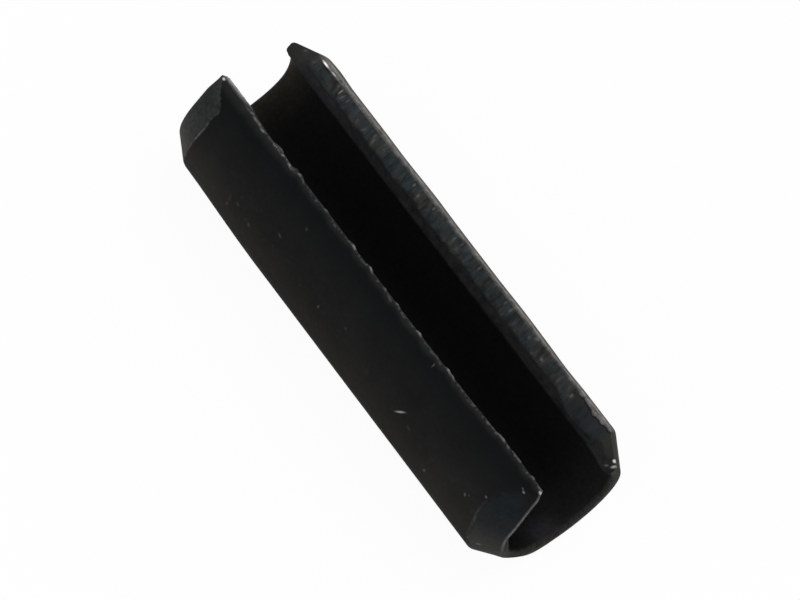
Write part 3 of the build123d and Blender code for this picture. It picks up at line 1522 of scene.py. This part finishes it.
        # A faint painted glow beside the edge, wider towards the back.
        glow_reach = graph.step(skin.x, -4.0, -7.5) * 0.16 + self.glow_reach
        return graph.most(line, graph.step(from_edge, glow_reach, 0.0) * self.glow)

    def _bare_steel_and_reflection_plus(self, graph: Graph, skin: Skin, patchy: Wire) -> Wire:
        """The rolled +Y edge, bare steel, and the outside beside it, between the two cones, where
        the weaker outer share is a painted reflection of the lamps at a grazing angle.

        Args:
            graph: The tree to add nodes to.
            skin: What the finish reads at a place.
            patchy: Noise that makes it patchy.

        Returns:
            The share of bare steel and painted reflection.
        """
        reach = self._roll_reach(graph, skin)
        rolled = graph.step(skin.rim, reach + 0.10, reach - 0.03)
        # Strongest at the edge; the weaker share reaching out to 0.95 mm on the outside is a
        # painted reflection of the lamps.
        near_plus = graph.step(skin.from_plus, 0.45, 0.10) * 0.5
        near_plus = near_plus + graph.step(skin.from_plus, 0.95, 0.30) * 0.5
        past_edge = graph.step(skin.from_plus, 0.0, 0.12) * 0.4 + 0.6
        shine = patchy * self.roll_shine + self.least_roll_shine
        band = graph.step(skin.x, -9.0, -8.5) * graph.step(skin.x, 9.0, 8.85)
        return near_plus * rolled * band * past_edge * shine

    def _rubbed_tip_face(self, graph: Graph, skin: Skin, patchy: Wire) -> Wire:
        """The -Y sheared face, where it stands out at the back end and a little before it.

        Args:
            graph: The tree to add nodes to.
            skin: What the finish reads at a place.
            patchy: Noise that makes it patchy.

        Returns:
            The share of bare steel.
        """
        standing = graph.most(graph.step(skin.x, -8.0, -9.2), graph.bell(skin.x, -6.4, 0.8) * 0.4)
        inner = graph.step(skin.from_minus, 0.1, 0.05) * graph.step(skin.depth, 0.10, 0.70)
        return standing * inner * (patchy * self.tip_face_shine + self.least_tip_face_shine)

    def _rubbed_end(self, graph: Graph, skin: Skin, patchy: Wire) -> Wire:
        """The front end's outer rim, from its corner on the -Y wall to the underside.

        Args:
            graph: The tree to add nodes to.
            skin: What the finish reads at a place.
            patchy: Noise that makes it patchy.

        Returns:
            The share of bare steel.
        """
        near_tip = graph.step(skin.from_end + skin.depth, 0.085, 0.01)
        span = graph.step(skin.side, 30.0, 36.0) * graph.step(skin.side, 118.0, 78.0)
        return near_tip * span * (patchy + 1.0) * self.end_line_shine

    def _rubbed_crease(self, graph: Graph, skin: Skin, at_front: Wire) -> Wire:
        """The creases between the cylinder and the cones, on the -Y wall.

        Args:
            graph: The tree to add nodes to.
            skin: What the finish reads at a place.
            at_front: 1 in the front half.

        Returns:
            The share of bare steel.
        """
        on_crease = graph.bell(skin.past_crease, 0.0, 0.07) * graph.step(skin.depth, 0.1, 0.0)
        back = graph.bell(skin.side, 80.0, 32.0) * (1.0 - at_front) * self.back_crease_shine
        front = graph.bell(skin.side, 86.0, 26.0) * at_front * self.front_crease_shine
        return on_crease * (back + front)

    def _roll_reach(self, graph: Graph, skin: Skin) -> Wire:
        """How far down the +Y face the bare steel of its rolled edge reaches."""
        return self.rubbed_reach.at(graph, skin.x) + self.reach_ripple.at(graph, skin.x)

    def _round_pin(self, marks: Sequence[Mark]) -> list[Mark]:
        """Marks whose level is given in degrees, with it in millimetres round the outside."""
        return [replace(mark, level=math.radians(mark.level) * self.radius) for mark in marks]

    @staticmethod
    def _strongest(graph: Graph, marks: Sequence[Mark], x: Wire, level: Wire) -> Wire:
        """The strongest of several marks at a place.

        Args:
            graph: The tree to add nodes to.
            marks: The marks.
            x: X at the place.
            level: The second coordinate there.

        Returns:
            The largest strength, or 0 between the marks.
        """
        place = graph.vector(x, level, 0.0)
        strongest: Number = 0.0
        for mark in marks:
            strongest = graph.most(mark.at(graph, place), strongest)
        return strongest


# ------------------------------------------------------------------------------------- the studio


@dataclass(frozen=True)
class SoftBox:
    """A square area lamp that looks at the pin."""

    name: str
    azimuth: float
    elevation: float
    distance: float
    size: float
    power: float

    def build(self) -> None:
        """Put the lamp in the scene."""
        turn, rise = math.radians(self.azimuth), math.radians(self.elevation)
        away = Vector(
            (math.sin(turn) * math.cos(rise), -math.cos(turn) * math.cos(rise), math.sin(rise))
        )
        data = bpy.data.lights.new(self.name, "AREA")
        data.size = self.size
        data.energy = self.power
        lamp = bpy.data.objects.new(self.name, data)
        lamp.location = away * self.distance
        lamp.rotation_mode = "QUATERNION"
        lamp.rotation_quaternion = (-away).to_track_quat("-Z", "Y")
        bpy.context.scene.collection.objects.link(lamp)


@dataclass(frozen=True)
class Studio:
    """A pale floor, soft lamps, a plain surround, and the camera."""

    floor_level: float
    floor_size: float = 3.0
    floor_colour: Colour = (0.92, 0.92, 0.91)
    floor_glow: float = 0.95
    floor_gloss: float = 0.15
    ambient: float = 0.45
    camera_distance: float = 0.18827
    camera_forward: float = 15.02
    camera_tilt: float = -34.633
    camera_roll: float = 52.685
    lens: float = 234.6
    shift: tuple[float, float] = (0.0020, 0.0007)
    lamps: tuple[SoftBox, ...] = (
        SoftBox("key_lamp", 5.0, 28.0, 0.50, 0.40, 1.3),
        SoftBox("top_lamp", 120.0, 75.0, 0.60, 0.40, 0.8),
        SoftBox("back_lamp", 190.0, 35.0, 0.60, 0.40, 0.6),
    )

    def build(self) -> None:
        """Put the whole studio in the scene."""
        scene = bpy.context.scene
        scene.view_settings.view_transform = "Standard"
        self._surround(scene)
        self._floor()
        for lamp in self.lamps:
            lamp.build()
        self._camera(scene)

    @staticmethod
    def _seen(graph: Graph, by_camera: float, mirrored: float) -> Wire:
        """A share for rays from the camera, one for rays off gloss or through glass, else 0.

        Args:
            graph: The tree to add nodes to.
            by_camera: The share for rays from the camera.
            mirrored: The share for rays off gloss or through glass.

        Returns:
            The share for the ray at hand.
        """
        camera = graph.add("ShaderNodeLightPath", None, None, "Is Camera Ray")
        gloss = graph.most(camera.output("Is Glossy Ray"), camera.output("Is Transmission Ray"))
        return graph.most(camera * by_camera, gloss * mirrored)

    def _surround(self, scene: bpy.types.Scene) -> None:
        """A white surround to look at, and a softer one to be lit by.

        Args:
            scene: The scene to light.
        """
        world = bpy.data.worlds.new("plain_surround")
        world.use_nodes = True
        graph = Graph(world.node_tree)
        strength = graph.mix(self._seen(graph, 1.0, 1.0), self.ambient, 1.0)
        shader = graph.add(
            "ShaderNodeBackground", None, {"Color": (1.0, 1.0, 1.0, 1.0), "Strength": strength}
        )
        graph.place("ShaderNodeOutputWorld", None, {"Surface": shader})
        scene.world = world

    def _floor(self) -> None:
        """A pale floor that glows a little to the camera, so that it stays white."""
        half = self.floor_size / 2
        mesh = bpy.data.meshes.new("floor")
        corners = [(-half, -half), (half, -half), (half, half), (-half, half)]
        mesh.from_pydata([(x, y, self.floor_level) for x, y in corners], [], [(0, 1, 2, 3)])
        material = bpy.data.materials.new("pale_floor")
        material.use_nodes = True
        graph = Graph(material.node_tree)
        glowing = self._seen(graph, self.floor_glow, self.floor_gloss)
        lit = graph.add("ShaderNodeBsdfDiffuse", None, {"Color": (*self.floor_colour, 1.0)})
        glow = graph.add("ShaderNodeEmission", None, {"Color": (1.0, 1.0, 1.0, 1.0)})
        shader = graph.add("ShaderNodeMixShader", None, {0: glowing, 1: lit, 2: glow})
        graph.place("ShaderNodeOutputMaterial", None, {"Surface": shader})
        mesh.materials.append(material)
        floor = bpy.data.objects.new("floor", mesh)
        bpy.context.scene.collection.objects.link(floor)

    def _camera(self, scene: bpy.types.Scene) -> None:
        """A long lens that looks at the middle of the pin's axis, rolled to lay the pin aslant.

        Args:
            scene: The scene to look at.
        """
        forward, tilt = math.radians(self.camera_forward), math.radians(self.camera_tilt)
        back = Vector(
            (
                math.sin(forward),
                math.cos(forward) * math.sin(tilt),
                math.cos(forward) * math.cos(tilt),
            )
        )
        along = Vector((1, 0, 0)) - back * back.x
        along.normalize()
        above = back.cross(along)
        roll = math.radians(self.camera_roll)
        right = along * math.cos(roll) + above * math.sin(roll)
        up = above * math.cos(roll) - along * math.sin(roll)
        data = bpy.data.cameras.new("camera")
        data.lens = self.lens
        data.clip_start = 0.01
        data.shift_x, data.shift_y = self.shift
        camera = bpy.data.objects.new("camera", data)
        turn = Matrix((right, up, back)).transposed().to_4x4()
        camera.matrix_world = Matrix.Translation(back * self.camera_distance) @ turn
        scene.collection.objects.link(camera)
        scene.camera = camera


def mount_size(name: str, key: str) -> float:
    """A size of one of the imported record's mounts, in millimetres."""
    mount = next(item for item in frame["record"]["mounts"] if item["name"] == name)
    return mount["dims"][key]


def main() -> None:
    """Build the studio and the pin."""
    logging.basicConfig(level=logging.INFO, format="%(name)s: %(message)s")
    low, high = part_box(NODE)
    Studio(floor_level=low.z).build()
    log.info("studio ready")

    radius = mount_size("outside", "r_mm")
    pin = SpringPin(
        length=(high.x - low.x) / MM, radius=radius, wall=radius - mount_size("bore", "r_mm")
    )
    piece = pin.build(BlackOxide(radius=radius).material())
    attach(piece, BODY)
    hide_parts(NODE)
    log.info("%s: %d faces", piece.name, len(piece.data.polygons))


if __name__ == "__main__":
    main()
